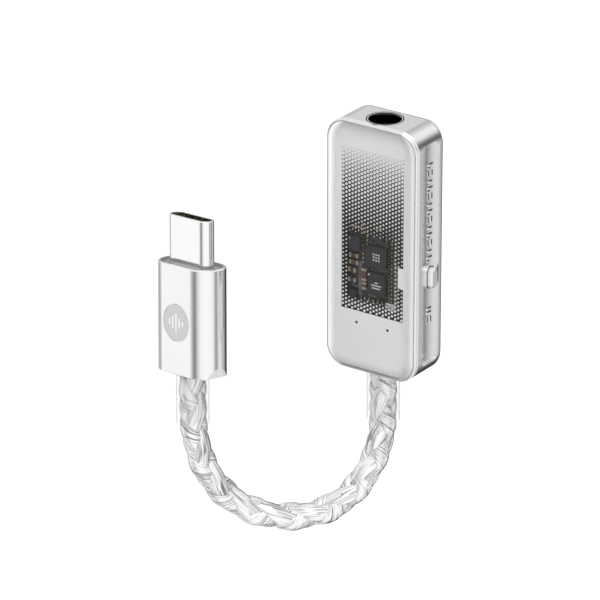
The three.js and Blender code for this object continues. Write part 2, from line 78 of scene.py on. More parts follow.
groove_top, groove_bottom = -2.1, -34.7
groove_middle, groove_width = -0.25, 4.1
groove_depth, groove_corner = 0.5, 1.0
groove_floor_radius, groove_lag = 6.5, 0.45  # its hollow floor is deepest a little behind its middle
button_height, button_depth = -22.1, -1.05
button_length, button_width, button_gap = 3.1, 1.7, 0.12
button_face, button_chamfer = 7.75, 0.28
button_flange, flange_thickness = 0.4, 0.35  # the flange that keeps the button in, inside the wall
bush_radius, bush_mouth, jack_radius, jack_top = 2.6, 2.42, 2.2, -1.5
play = 0.05  # round a part in its hole

lead_radius = 2.0
sleeve_radius, sleeve_bore, sleeve_lip = 2.4, 2.28, 0.1
sleeve_gap, body_sleeve_length, plug_sleeve_length = 0.3, 8.0, 7.2
plug_foot = Vector((-21.8, -15.1, -37.7))
plug_turn, plug_lean = -13.5, -9.7
lean_axis = Vector((0.8211, 0.5707, 0))
plug_width, plug_thickness, plug_length = 11.5, 5.9, 15.5
plug_wall, plug_rim, dish_depth, plug_bevel = 0.8, 0.4, 0.45, 0.15
heel_width, heel_height = 0.65, 1.45
badge_height, badge_radius, badge_depth = 7.45, 2.62, 0.12
tip_width, tip_thickness, tip_length, tip_wall, tip_root = 8.25, 2.4, 6.55, 0.3, 12.0
tip_gap = 0.2

# The lead's centreline, from the body's bottom face round the bend to the plug.
lead_route = [
    (0, 0, -37.2),
    (0, 0, -40.2),
    (0, 0, -43.2),
    (0, 0, -44.9),
    (-0.3, -0.3, -48.3),
    (-1.1, -1.0, -51.5),
    (-2.4, -2.2, -54.6),
    (-4.1, -3.8, -57.0),
    (-6.3, -5.6, -58.6),
    (-8.7, -7.6, -59.3),
    (-11.2, -9.8, -59.1),
    (-13.6, -11.7, -58.3),
    (-15.8, -13.4, -56.7),
    (-17.7, -14.8, -54.4),
    (-19.3, -15.7, -51.5),
    (-20.3, -16.1, -48.3),
    (-21.0, -16.1, -44.9),
    (-21.25, -15.8, -42.6),
    (-21.5, -15.5, -40.2),
    (-21.75, -15.15, -38.0),
]

plug_axes = (
    Matrix.Rotation(math.radians(plug_lean), 3, lean_axis)
    @ Matrix.Rotation(math.radians(plug_turn), 3, "Z")
    @ Matrix.Rotation(math.radians(90), 3, "X")
)


def body_point(x, y, front):
    """A point of the body: x to the right, y up, front towards the cover, all in millimetres."""
    return Vector((x, -front, y)) * MM


def plug_point(x, along, front):
    """A point of the plug: along its length, front towards its marked side, all in millimetres."""
    return (plug_foot + plug_axes @ Vector((x, along, front))) * MM


# ---------------------------------------------------------------- camera and studio
view_azimuth, view_elevation = math.radians(34.8), math.radians(23.3)
view_distance = 0.7075
focal_length = 312.0
aim_right, aim_down = 0.01158, 0.02468  # from the jack's mouth to the middle of the picture

to_camera = Vector((
    math.sin(view_azimuth) * math.cos(view_elevation),
    -math.cos(view_azimuth) * math.cos(view_elevation),
    math.sin(view_elevation),
))
view_right = Vector((math.cos(view_azimuth), math.sin(view_azimuth), 0))
view_up = to_camera.cross(view_right)
aim = -view_right * aim_right - view_up * aim_down


def add_camera():
    data = bpy.data.cameras.new("camera")
    data.lens = focal_length
    data.sensor_width = 36
    data.clip_start, data.clip_end = 0.01, 50
    camera = bpy.data.objects.new("camera", data)
    camera.location = aim + to_camera * view_distance
    camera.rotation_euler = (-to_camera).to_track_quat("-Z", "Y").to_euler()
    bpy.context.scene.collection.objects.link(camera)
    bpy.context.scene.camera = camera


class Tree:
    """A node tree, with a short way to add and join nodes."""

    def __init__(self, owner):
        owner.use_nodes = True
        self.nodes = owner.node_tree.nodes
        self.links = owner.node_tree.links

    def add(self, kind, inputs=None, **settings):
        """A node with its settings; each input is joined to an output or set to a value, as given."""
        node = self.nodes.new("ShaderNode" + kind)
        for setting, value in settings.items():
            setattr(node, setting, value)
        for socket, value in (inputs or {}).items():
            self.put(node.inputs[socket], value)
        return node

    def put(self, socket, value):
        if isinstance(value, bpy.types.NodeSocket):
            self.links.new(value, socket)
        else:
            socket.default_value = value

    def mix(self, share, below, above):
        return self.add("MixShader", {0: share, 1: below, 2: above}).outputs[0]


def ramp_stops(ramp, stops):
    """Sets a colour ramp's grey stops, given as pairs of place and value."""
    while len(ramp.elements) < len(stops):
        ramp.elements.new(0.5)
    for element, (place, value) in zip(ramp.elements, stops):
        element.position = place
        element.color = (value, value, value, 1)


# What the studio shows to polished metal: its brightness by bearing from the camera's side, in degrees,
# positive to the right, at and below the object's level, a little above it, and well above it.
LOW_BAND = [
    (-180, 0.74), (-160, 0.72), (-146, 0.62), (-134, 0.48), (-124, 0.38), (-114, 0.6), (-105, 0.98),
    (-93, 1.02), (-86, 0.84), (-74, 0.52), (-60, 0.22), (-53, 0.28), (-43, 0.6), (-31, 0.88), (-18, 1.0),
    (0, 1.03), (32, 1.0), (41, 0.93), (48, 0.72), (57, 0.28), (63, 0.34), (71, 0.66), (82, 0.84), (94, 0.82),
    (104, 0.7), (112, 0.52), (121, 0.36), (130, 0.15), (138, 0.05), (176, 0.03), (180, 0.2),
]
MIDDLE_BAND = [
    (-180, 0.48), (-150, 0.55), (-100, 1.0), (-60, 0.5), (0, 1.0), (60, 0.7), (86, 0.5), (96, 0.04),
    (118, 0.04), (130, 0.6), (150, 0.55), (165, 0.5), (180, 0.48),
]
HIGH_BAND = [
    (-180, 0.97), (-90, 0.9), (0, 1.0), (100, 0.9), (130, 1.05), (148, 0.7), (164, 0.45), (176, 0.85),
    (180, 0.97),
]


def add_world():
    """Glossy rays see the studio's bands, and all other rays see plain white."""
    world = bpy.data.worlds.new("studio")
    bpy.context.scene.world = world
    tree = Tree(world)
    tree.nodes.clear()

    def blended(height, low, high, below, above):
        limits = {"Value": height, "From Min": low, "From Max": high}
        share = tree.add("MapRange", limits, interpolation_type="SMOOTHSTEP").outputs[0]
        return tree.add("Mix", {0: share, 6: below, 7: above}, data_type="RGBA").outputs[2]

    place = tree.add("TexCoord").outputs["Generated"]
    turned = tree.add("VectorRotate", {"Vector": place, "Angle": -view_azimuth}, rotation_type="Z_AXIS")
    split = tree.add("SeparateXYZ", {0: turned.outputs[0]}).outputs
    back = tree.add("Math", {0: split["Y"], 1: -1}, operation="MULTIPLY").outputs[0]
    bearing = tree.add("Math", {0: split["X"], 1: back}, operation="ARCTAN2").outputs[0]
    around = tree.add("MapRange", {"Value": bearing, "From Min": -math.pi, "From Max": math.pi}).outputs[0]
    bands = []
    for band in (LOW_BAND, MIDDLE_BAND, HIGH_BAND):
        ramp = tree.add("ValToRGB", {0: around})
        ramp_stops(ramp.color_ramp, [((angle + 180) / 360, value) for angle, value in band])
        bands.append(ramp.outputs[0])
    lower = blended(split["Z"], -0.1, 0.12, bands[0], bands[1])
    tones = blended(split["Z"], 0.22, 0.5, lower, bands[2])
    studio = tree.add("Background", {"Color": tones}).outputs[0]
    white = tree.add("Background", {"Color": (1, 1, 1, 1)}).outputs[0]
    glossy = tree.add("LightPath").outputs["Is Glossy Ray"]
    tree.add("OutputWorld", {0: tree.mix(glossy, white, studio)})


def add_softbox():
    """A square area light above the left of the view, aimed at the object."""
    data = bpy.data.lights.new("top_softbox", "AREA")
    data.size = 0.35
    data.energy = 0.5
    light = bpy.data.objects.new("top_softbox", data)
    azimuth, rise = view_azimuth + math.radians(-20), math.radians(65)
    out = Vector((
        math.sin(azimuth) * math.cos(rise),
        -math.cos(azimuth) * math.cos(rise),
        math.sin(rise),
    ))
    light.location = aim + out * 0.6
    light.rotation_euler = (-out).to_track_quat("-Z", "Y").to_euler()
    bpy.context.scene.collection.objects.link(light)


def add_floor():
    side, height = 20.0, -0.16
    mesh = bpy.data.meshes.new("floor")
    corners = [(-side, -side, height), (side, -side, height), (side, side, height), (-side, side, height)]
    mesh.from_pydata(corners, [], [(0, 1, 2, 3)])
    floor = bpy.data.objects.new("floor", mesh)
    bpy.context.scene.collection.objects.link(floor)
    floor.visible_glossy = False
    paper = bpy.data.materials.new("floor_paper")
    paper.use_nodes = True
    shader = paper.node_tree.nodes["Principled BSDF"]
    shader.inputs["Base Color"].default_value = (0.92, 0.92, 0.92, 1)
    shader.inputs["Roughness"].default_value = 0.9
    shader.inputs["Emission Color"].default_value = (1, 1, 1, 1)
    shader.inputs["Emission Strength"].default_value = 0.3
    mesh.materials.append(paper)


add_camera()
add_world()
add_floor()
add_softbox()
bpy.context.scene.view_settings.view_transform = "Standard"


# ---------------------------------------------------------------- materials
class Look(Tree):
    """A material under construction, with its Principled shader."""

    def __init__(self, name, colour, roughness, metallic=0.0):
        self.material = bpy.data.materials.new(name)
        super().__init__(self.material)
        self.inputs = self.nodes["Principled BSDF"].inputs
        self.put(self.inputs["Base Color"], (*colour, 1))
        self.put(self.inputs["Roughness"], roughness)
        self.put(self.inputs["Metallic"], metallic)
        self.coords = self.add("TexCoord").outputs["Object"]

    def noise(self, per_mm, detail=3.0, stretch=(1, 1, 1)):
        """A noise value from 0 to 1, with so many cells to the millimetre."""
        place = self.add("Mapping", {"Vector": self.coords, "Scale": stretch}).outputs[0]
        return self.add("TexNoise", {"Vector": place, "Scale": per_mm / MM, "Detail": detail}).outputs[0]

    def vary_roughness(self, value, low, high):
        spread = self.add("MapRange", {"Value": value, "To Min": low, "To Max": high})
        self.put(self.inputs["Roughness"], spread.outputs[0])

    def vary_colour(self, value, dark, light, start=0.3, end=0.7):
        blend = self.add("ValToRGB", {0: value})
        for element, place, colour in zip(blend.color_ramp.elements, (start, end), (dark, light)):
            element.position = place
            element.color = (*colour, 1)
        self.put(self.inputs["Base Color"], blend.outputs[0])

    def bump(self, value, depth_mm, strength=1.0):
        relief = self.add("Bump", {"Distance": depth_mm * MM, "Strength": strength, "Height": value})
        self.put(self.inputs["Normal"], relief.outputs[0])


def grey(value):
    return (value, value, value)


def finish(name, colour, roughness, metallic=0.0, rough=None, tones=None, grain=None, stretch=(1, 1, 1)):
    """A material with fine variation. Each kind starts with its noise's cells to the millimetre; rough goes on
    with the roughness' limits, tones with the darkest and lightest colour, and grain with the relief's detail,
    depth and strength."""
    look = Look(name, colour, roughness, metallic)
    if rough:
        per_mm, low, high = rough
        look.vary_roughness(look.noise(per_mm, stretch=stretch), low, high)
    if tones:
        per_mm, dark, light = tones
        look.vary_colour(look.noise(per_mm), dark, light)
    if grain:
        per_mm, detail, depth, strength = grain
        look.bump(look.noise(per_mm, detail), depth, strength)
    return look.material


def litz_metal():
    """Silver-plated strands: bright and dark streaks along each core's wires."""
    look = Look("litz_metal", grey(0.95), 0.26, 0.7)
    look.coords = look.add("UVMap", uv_map="wires").outputs[0]
    fine = look.noise(0.0046, 2.0, stretch=(1, 0.05, 1))
    coarse = look.noise(0.0017, 1.0, stretch=(1, 0.14, 1))
    part = look.add("Math", {0: coarse, 1: 0.4}, operation="MULTIPLY").outputs[0]
    both = look.add("Math", {0: fine, 1: 0.6, 2: part}, operation="MULTIPLY_ADD").outputs[0]
    look.vary_colour(both, (0.24, 0.24, 0.245), grey(1.0), 0.38, 0.5)
    look.vary_roughness(coarse, 0.16, 0.36)
    look.bump(fine, 0.06, 0.8)
    return look.material


class Film(Tree):
    """A clear wall's material: a base shader, with gloss on the wall's outer side only."""

    def __init__(self, name, tint):
        self.material = bpy.data.materials.new(name)
        super().__init__(self.material)
        self.nodes.clear()
        self.through = self.add("BsdfTransparent", {"Color": (*tint, 1)}).outputs[0]

    def diffuse(self, colour):
        return self.add("BsdfDiffuse", {"Color": (*colour, 1)}).outputs[0]

    def finished(self, base, index, roughness):
        mirror = self.add("BsdfGlossy", {"Roughness": roughness}).outputs[0]
        edge = self.add("Fresnel", {"IOR": index}).outputs[0]
        back = self.add("NewGeometry").outputs["Backfacing"]
        outside = self.add("Math", {0: 1.0, 1: back}, operation="SUBTRACT").outputs[0]
        share = self.add("Math", {0: edge, 1: outside}, operation="MULTIPLY").outputs[0]
        self.add("OutputMaterial", {"Surface": self.mix(share, base, mirror)})
        return self.material


def clear_film(name, tint, roughness, haze):
    """A thin clear wall: what is behind shows through unbent, a little milky."""
    film = Film(name, tint)
    return film.finished(film.mix(haze, film.through, film.diffuse((0.88, 0.88, 0.885))), 1.45, roughness)


def cover_glass():
    """The cover: clear, with a painted highlight on its curved long edges and painted shade on its curved
    bottom edge.
    """
    film = Film("cover_glass", grey(0.97))
    # A pale diffuse for the painted highlight and a dark diffuse for the painted shade, mixed in by which way
    # the edge leans.
    painted_highlight, shade = film.diffuse(grey(0.93)), film.diffuse(grey(0.3))
    normal = film.add("TexCoord").outputs["Normal"]
    tilt = film.add("SeparateXYZ", {0: normal}).outputs

    def leaning(axis, start, end, most):
        limits = {"Value": tilt[axis], "From Min": start, "From Max": end, "To Max": most}
        return film.add("MapRange", limits).outputs[0]

    # Painted highlight on the left and right edges, stronger on the left; painted shade where the edge leans
    # down.
    left = film.mix(leaning("X", -0.03, -0.2, 0.9), film.through, painted_highlight)
    right = film.mix(leaning("X", 0.1, 0.35, 0.55), left, painted_highlight)
    return film.finished(film.mix(leaning("Z", -0.01, -0.25, 0.5), right, shade), 1.5, 0.03)


ALUMINIUM = finish(
    "blasted_aluminium", (0.86, 0.86, 0.865), 0.25, 1.0, (0.4, 0.22, 0.3), grain=(9.0, 4.0, 0.004, 0.5)
)
BRIGHT = finish(
    "polished_aluminium", (0.93, 0.93, 0.935), 0.16, 1.0, (0.35, 0.13, 0.2), grain=(7.0, 4.0, 0.0015, 0.5)
)
# Darker aluminium for the hollow round the plug's tip: painted shade.
SHADED = finish("shaded_aluminium", (0.62, 0.62, 0.625), 0.42, 1.0, grain=(7.0, 4.0, 0.003, 0.5))
STEEL = finish("polished_steel", grey(0.95), 0.08, 1.0, (0.5, 0.05, 0.12), stretch=(1, 1, 0.1))
CHROME = finish("dark_chrome", (0.04, 0.04, 0.043), 0.14, 1.0, (1.2, 0.1, 0.2))
GOLD = finish("gold_plate", (0.78, 0.64, 0.4), 0.28, 1.0, (3.0, 0.2, 0.4))
LITZ = litz_metal()
PRINT = finish(
    "pearl_print", grey(0.72), 0.5, tones=(0.15, grey(0.715), grey(0.735)), grain=(12.0, 3.0, 0.001, 0.3)
)
BLACK = finish(
    "black_moulding", (0.012, 0.012, 0.013), 0.5, 0.0, (1.5, 0.42, 0.6), grain=(14.0, 3.0, 0.004, 0.4)
)
RESIN = finish(
    "chip_resin", (0.018, 0.018, 0.022), 0.5,
    tones=(6.0, (0.014, 0.014, 0.018), (0.03, 0.03, 0.034)), grain=(18.0, 3.0, 0.006, 0.5),
)
LACQUER = finish(
    "board_lacquer", (0.02, 0.022, 0.02), 0.38,
    tones=(0.8, (0.012, 0.013, 0.011), (0.034, 0.034, 0.03)), grain=(5.0, 3.0, 0.004, 0.4),
)
TRACE = finish(
    "trace_lacquer", (0.1, 0.1, 0.105), 0.34, 0.35, tones=(1.4, (0.07, 0.07, 0.075), (0.16, 0.16, 0.165))
)
CERAMIC = finish(
    "capacitor_ceramic", (0.085, 0.038, 0.026), 0.45, tones=(3.0, (0.055, 0.026, 0.02), (0.12, 0.055, 0.038))
)
TIN = finish("tinned_end", (0.42, 0.37, 0.28), 0.35, 0.6, (4.0, 0.25, 0.5))
PALE_INK = finish("pale_ink", grey(0.62), 0.6, 0.0, (5.0, 0.5, 0.7))
# Painted shade: the dark of the side groove's engraved lettering, put on as flat marks.
CUT_SHADE = finish("painted_cut_shade", (0.05, 0.05, 0.052), 0.55, 0.0, (5.0, 0.45, 0.65))
BADGE = finish("badge_metal", (0.66, 0.66, 0.67), 0.5, 0.5, (1.0, 0.45, 0.58), grain=(9.0, 4.0, 0.003, 0.5))
SEAL = finish("rubber_seal", grey(0.03), 0.7, grain=(4.0, 3.0, 0.01, 0.4))
INSULATION = finish("wire_insulation", grey(0.75), 0.45, 0.0, (2.0, 0.4, 0.55))
LENS = finish("led_lens", (0.8, 0.78, 0.68), 0.2, 0.0, (3.0, 0.15, 0.3))
COVER_GLASS = cover_glass()
SLEEVE_FILM = clear_film("sleeve_film", (0.98, 0.98, 0.982), 0.1, 0.045)
JACKET_FILM = clear_film("jacket_film", grey(0.99), 0.06, 0.02)


# ---------------------------------------------------------------- mesh helpers
def link_mesh(name, vertices, faces, material):
    mesh = bpy.data.meshes.new(name)
    mesh.from_pydata([tuple(v) for v in vertices], [], faces)
    mesh.materials.append(material)
    piece = bpy.data.objects.new(name, mesh)
    bpy.context.scene.collection.objects.link(piece)
    return piece


def settle(piece, body=BODY, replaces=(), sharp=35.0, bevel_mm=0.0):
    """Shades a finished piece, rounds its hard edges and lets it ride on its body."""
    mesh = piece.data
    mesh.polygons.foreach_set("use_smooth", [True] * len(mesh.polygons))
    mesh.set_sharp_from_angle(angle=math.radians(sharp))
    if bevel_mm:
        bevel = piece.modifiers.new("edge", "BEVEL")
        bevel.width = bevel_mm * MM
        bevel.segments = 2
        bevel.limit_method = "ANGLE"
        bevel.angle_limit = math.radians(sharp)
        bevel.harden_normals = True
    shading = piece.modifiers.new("shading", "WEIGHTED_NORMAL")
    shading.keep_sharp = True
    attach(piece, body)
    if replaces:
        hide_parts(*replaces)
    return piece


def rounded_outline(half_x, half_y, radius, steps=14):
    points = []
    for sign_x, sign_y, start in ((1, 1, 0), (-1, 1, 90), (-1, -1, 180), (1, -1, 270)):
        for step in range(steps + 1):
            angle = math.radians(start + 90 * step / steps)
            x = sign_x * (half_x - radius) + radius * math.cos(angle)
            y = sign_y * (half_y - radius) + radius * math.sin(angle)
            points.append((x, y))
    return points


def body_ring(front, inset_x, inset_y=None):
    """The tub's outline, drawn in by the two insets, at one depth."""
    inset_y = inset_x if inset_y is None else inset_y
    radius = max(corner_radius - max(inset_x, inset_y), 0.2)
    outline = rounded_outline(half_width - inset_x, body_height / 2 - inset_y, radius)
    return [body_point(x, y - body_height / 2, front) for x, y in outline]


def joined(name, solids, material, capped=True):
    """One mesh of several skins, each through rings of equal length, closed by a flat face at each end."""
    vertices, faces = [], []
    for rings in solids:
        first, count = len(vertices), len(rings[0])
        last = first + (len(rings) - 1) * count
        vertices += [point for ring in rings for point in ring]
        for start in range(first, last, count):
            for i in range(count):
                j = (i + 1) % count
                faces.append((start + i, start + j, start + count + j, start + count + i))
        if capped:
            faces.append(tuple(first + i for i in reversed(range(count))))
            faces.append(tuple(last + i for i in range(count)))
    return link_mesh(name, vertices, faces, material)


def outward(piece, merge_mm=0.0):
    """Turns the faces outwards, after joining points that lie closer than the given distance."""
    shape = bmesh.new()
    shape.from_mesh(piece.data)
    if merge_mm:
        bmesh.ops.remove_doubles(shape, verts=shape.verts, dist=merge_mm * MM)
    bmesh.ops.recalc_face_normals(shape, faces=shape.faces)
    shape.to_mesh(piece.data)
    shape.free()
    return piece


def loft(name, rings, material):
    return outward(joined(name, [rings], material))


def carve(target, tool, operation="DIFFERENCE"):
    """Applies a boolean to target and removes the tool."""
    modifier = target.modifiers.new("carve", "BOOLEAN")
    modifier.operation = operation
    modifier.solver = "EXACT"
    modifier.object = tool
    bpy.context.view_layer.update()
    evaluated = target.evaluated_get(bpy.context.evaluated_depsgraph_get())
    carved = bpy.data.meshes.new_from_object(evaluated)
    target.modifiers.clear()
    target.data = carved
    bpy.data.objects.remove(tool)


def circle(centre, axis, radius, sides):
    """A ring of points about an axis, its radius in millimetres."""
    side = axis.orthogonal().normalized()
    other = axis.cross(side)
    turns = [2 * math.pi * i / sides for i in range(sides)]
    return [centre + (side * math.cos(t) + other * math.sin(t)) * radius * MM for t in turns]


def rod(name, start, end, radius, material, sides=48):
    """A round bar between two points in metres, its radius in millimetres."""
    axis = (end - start).normalized()
    return loft(name, [circle(centre, axis, radius, sides) for centre in (start, end)], material)


def spun(name, start, axis, profile, material, sides=64):
    """A ring turned about an axis from a closed profile of radius and height, in millimetres."""
    rings = [circle(start + axis * along * MM, axis, reach, sides) for reach, along in profile + profile[:1]]
    return outward(joined(name, [rings], material, capped=False), 0.001)


def scatter(name, solids, material, bevel_mm=0.0):
    """One piece made of many small flat-topped solids, each a list of base points and one of top points."""
    return settle(outward(joined(name, solids, material)), bevel_mm=bevel_mm)


def tile(point, x, y, width, height, low, high, radius=0.0):
    """A low block or pill on a face, as base and top points; point places it on the body or the plug."""
    if radius:
        outline = rounded_outline(width / 2, height / 2, min(radius, width / 2, height / 2), 4)
    else:
        outline = [(sx * width / 2, sy * height / 2) for sx, sy in ((1, 1), (-1, 1), (-1, -1), (1, -1))]
    return [[point(x + u, y + v, level) for u, v in outline] for level in (low, high)]


def disc(point, x, y, radius, low, high, sides=14):
    turns = [2 * math.pi * i / sides for i in range(sides)]
    outline = [(x + radius * math.cos(t), y + radius * math.sin(t)) for t in turns]
    return [[point(u, v, level) for u, v in outline] for level in (low, high)]


node_body = {node: body for body, nodes in frame["record"]["behaviour"]["bodies"].items() for node in nodes}


def refined(node, material, bevel_mm=0.05, sharp=32.0):
    """A finer copy of a CAD node: its flat faces whole again, its hard edges rounded."""
    mesh = frame["nodes"][node].data.copy()
    mesh.materials.clear()
    mesh.materials.append(material)
    shape = bmesh.new()
    shape.from_mesh(mesh)
    bmesh.ops.remove_doubles(shape, verts=shape.verts, dist=0.002 * MM)
    bmesh.ops.dissolve_limit(shape, angle_limit=math.radians(0.3), verts=shape.verts, edges=shape.edges)
    shape.to_mesh(mesh)
    shape.free()
    piece = bpy.data.objects.new(node + "_fine", mesh)
    bpy.context.scene.collection.objects.link(piece)
    return settle(piece, node_body[node], (node,), sharp, bevel_mm)


# ---------------------------------------------------------------- the lead
def smooth_route():
    """The lead's centreline as a finely stepped list of points in metres."""
    points = [Vector(p) * MM for p in lead_route]
    points = [points[0] * 2 - points[1]] + points + [points[-1] * 2 - points[-2]]
    fine = []
    for i in range(1, len(points) - 2):
        p0, p1, p2, p3 = points[i - 1 : i + 3]
        for step in range(24):
            t = step / 24
            fine.append(
                0.5 * (2 * p1 + (p2 - p0) * t + (2 * p0 - 5 * p1 + 4 * p2 - p3) * t * t
                       + (3 * p1 - p0 - 3 * p2 + p3) * t * t * t)
            )
    fine.append(points[-2].copy())
    return fine


def evenly(points, step):
    """The same line with its points a fixed step apart, and its length."""
    lengths = [0.0]
    for a, b in zip(points, points[1:]):
        lengths.append(lengths[-1] + (b - a).length)
    total = lengths[-1]
    count = round(total / step)
    even, at = [], 0
    for i in range(count + 1):
        wanted = total * i / count
        while at < len(lengths) - 2 and lengths[at + 1] < wanted:
            at += 1
        share = (wanted - lengths[at]) / (lengths[at + 1] - lengths[at])
        even.append(points[at].lerp(points[at + 1], share))
    return even, total


braid_step = 0.16  # millimetres from ring to ring along a core
braid_turn = 10.6  # millimetres of lead for one turn of a core
braid_ring, braid_wave = 0.82, 0.22  # how far a core lies from the middle, and its over-and-under wave
braid_lag = 0.2  # a core runs straighter where it lies on top, and crosses faster underneath
core_wide, core_thin = 1.3, 1.02  # a core is pressed a little flat
core_wires, wire_depth = 12, 0.09  # the wires' relief is a share of the core's radius
wire_twist = 12.0  # millimetres of core for one turn of its wires
jacket_skin = 0.03


def route_frames(points):
    """For each point, two directions across the lead, the first as near as it can be to the viewer's side."""
    frames = []
    for i, point in enumerate(points):
        along = (points[min(i + 1, len(points) - 1)] - points[max(i - 1, 0)]).normalized()
        towards = Vector((to_camera.x, to_camera.y, 0)).normalized()
        first = (towards - along * towards.dot(along)).normalized()
        frames.append((point, first, along.cross(first)))
    return frames


def core_line(frames, total, core):
    """The centre line of one of the four braided cores."""
    way = 1 if core % 2 == 0 else -1
    start = math.pi * (core // 2)
    line = []
    for i, (point, first, second) in enumerate(frames):
        turn = 2 * math.pi * (total / MM) * i / (len(frames) - 1) / braid_turn
        angle = way * turn + start + math.pi / 4 - braid_lag * math.sin(2 * turn)
        reach = (braid_ring + way * braid_wave * math.cos(2 * turn)) * MM
        line.append(point + (first * math.cos(angle) + second * math.sin(angle)) * reach)
    return line


def core_rings(line, middle, sides, depth_at, grow=0.0):
    """Rings round a core: wide along the lead's skin, thin towards its middle, with the wires' relief."""
    rings = []
    for i, point in enumerate(line):
        along = (line[min(i + 1, len(line) - 1)] - line[max(i - 1, 0)]).normalized()
        out = point - middle[i]
        out = (out - along * out.dot(along)).normalized()
        side = along.cross(out)
        ring = []
        for k in range(sides):
            t = 2 * math.pi * k / sides
            cut = 1 - depth_at(i, t)
            thin, wide = (core_thin + grow) * math.cos(t) * cut, (core_wide + grow) * math.sin(t) * cut
            ring.append(point + (out * thin + side * wide) * MM)
        rings.append(ring)
    return rings


def build_lead():
    points, total = evenly(smooth_route(), braid_step * MM)
    frames = route_frames(points)
    lines = [core_line(frames, total, core) for core in range(4)]

    def relief(i, t):
        twist = 2 * math.pi * i * braid_step / wire_twist
        return wire_depth * (1 - abs(math.sin(core_wires * (t + twist) / 2)))

    tubes = [core_rings(line, points, core_wires * 4, relief) for line in lines]
    cores = joined("lead_cores", tubes, LITZ)
    wrap_streaks(cores, tubes)
    settle(cores, replaces=("audio_lead",), sharp=60)
    skins = [core_rings(line[::2], points[::2], 20, lambda i, t: 0.0, jacket_skin) for line in lines]
    jackets = settle(joined("lead_jackets", skins, JACKET_FILM), sharp=80)
    return cores, jackets, points[::6] + points[-1:], total


def wrap_streaks(cores, tubes):
    """Gives the cores a coordinate round and along each core, turning with its wires, in millimetres."""
    layer = cores.data.uv_layers.new(name="wires")
    round_mm = math.pi * (core_wide + core_thin)
    apart = 31  # keeps the four cores' streaks different
    sides = len(tubes[0][0])
    places, seams = [], []
    for number, rings in enumerate(tubes):
        for i in range(len(rings)):
            along = i * braid_step
            for k in range(sides):
                places.append((number * apart + (k / sides + along / wire_twist) * round_mm, along))
                seams.append(k == 0)
    for polygon in cores.data.polygons:
        corners = [cores.data.loops[loop].vertex_index for loop in polygon.loop_indices]
        across_seam = len(corners) == 4 and max(corners) - min(corners) >= sides * 2 - 1
        for loop, vertex in zip(polygon.loop_indices, corners):
            u, v = places[vertex]
            layer.data[loop].uv = (u + (round_mm if across_seam and seams[vertex] else 0), v)


def build_sleeve(node, low, high):
    """A clear shrink tube between two points in metres, its lips a little rounded."""
    length = (high - low).length / MM
    profile = [
        (sleeve_bore, 0.02), (sleeve_bore, length), (sleeve_radius - sleeve_lip, length),
        (sleeve_radius, length - sleeve_lip), (sleeve_radius, 0.35), (sleeve_radius - 0.03, 0.15),
        (sleeve_radius - 0.09, 0.0),
    ]
    sleeve = spun(node + "_fine", low, (high - low).normalized(), profile, SLEEVE_FILM)
    return settle(sleeve, replaces=(node,), sharp=50)


lead_cores, lead_jackets, lead_path, lead_length = build_lead()
sleeve_top = -body_height - sleeve_gap
body_sleeve = build_sleeve(
    "body_end_sleeve", body_point(0, sleeve_top - body_sleeve_length, 0), body_point(0, sleeve_top, 0)
)
plug_sleeve = build_sleeve(
    "plug_end_sleeve", plug_point(0, -sleeve_gap - plug_sleeve_length, 0), plug_point(0, -sleeve_gap, 0)
)


# ---------------------------------------------------------------- the body
def build_housing():
    steps = 8
    rings = []
    for step in range(steps + 1):
        angle = math.pi / 2 * step / steps
        inset = rear_fillet * (1 - math.sin(angle))
        front = body_back + rear_fillet * (1 - math.cos(angle))
        rings.append(body_ring(front, inset, inset * rear_top_share))
    rings += [
        body_ring(reveal_back, 0),
        body_ring((reveal_back + reveal_front) / 2, reveal_cut),
        body_ring(reveal_front, 0),
        body_ring(rim_front - rim_chamfer, 0),
        body_ring(rim_front, rim_chamfer),
    ]
    tub = loft("housing_fine", rings, ALUMINIUM)
    cavity = [body_ring(body_back + back_wall, wall, end_wall), body_ring(rim_front + 1, wall, end_wall)]
    carve(tub, loft("cavity", cavity, ALUMINIUM))
    rebate = [body_ring(ledge_depth, rebate_inset), body_ring(rim_front + 1, rebate_inset)]
    carve(tub, loft("rebate", rebate, ALUMINIUM))
    carve(tub, groove_tool())
    jack_hole = body_point(0, -2 * end_wall, 0), body_point(0, 1, 0)
    carve(tub, rod("jack_hole", *jack_hole, bush_radius + play, ALUMINIUM, 64))
    lead_hole = body_point(0, -body_height - 1, 0), body_point(0, -body_height + 2, 0)
    carve(tub, rod("lead_hole", *lead_hole, lead_radius + 0.15, ALUMINIUM))
    carve(tub, pill("button_hole", [(half_width - wall - 1, button_gap), (half_width + 2, button_gap)]))
    return settle(tub, replaces=("main_housing",), sharp=20, bevel_mm=0.05)


def pill(name, layers):
    """The button's outline, grown or shrunk all round, between layers of depth and growth along x."""
    rings = []
    for x, grow in layers:
        half_wide, half_long = button_width / 2 + grow, button_length / 2 + grow
        outline = rounded_outline(half_wide, half_long, half_wide, 14)
        rings.append([body_point(x, button_height + v, button_depth + u) for u, v in outline])
    return loft(name, rings, ALUMINIUM)


def build_button():
    inner = half_width - wall
    layers = [
        (inner - 0.1 - flange_thickness, button_flange), (inner - 0.1, button_flange), (inner - 0.1, 0),
        (button_face - button_chamfer, 0), (button_face, -button_chamfer),
    ]
    button = pill("side_button_fine", layers)
    return settle(button, "button", ("side_button",), sharp=28, bevel_mm=0.05)


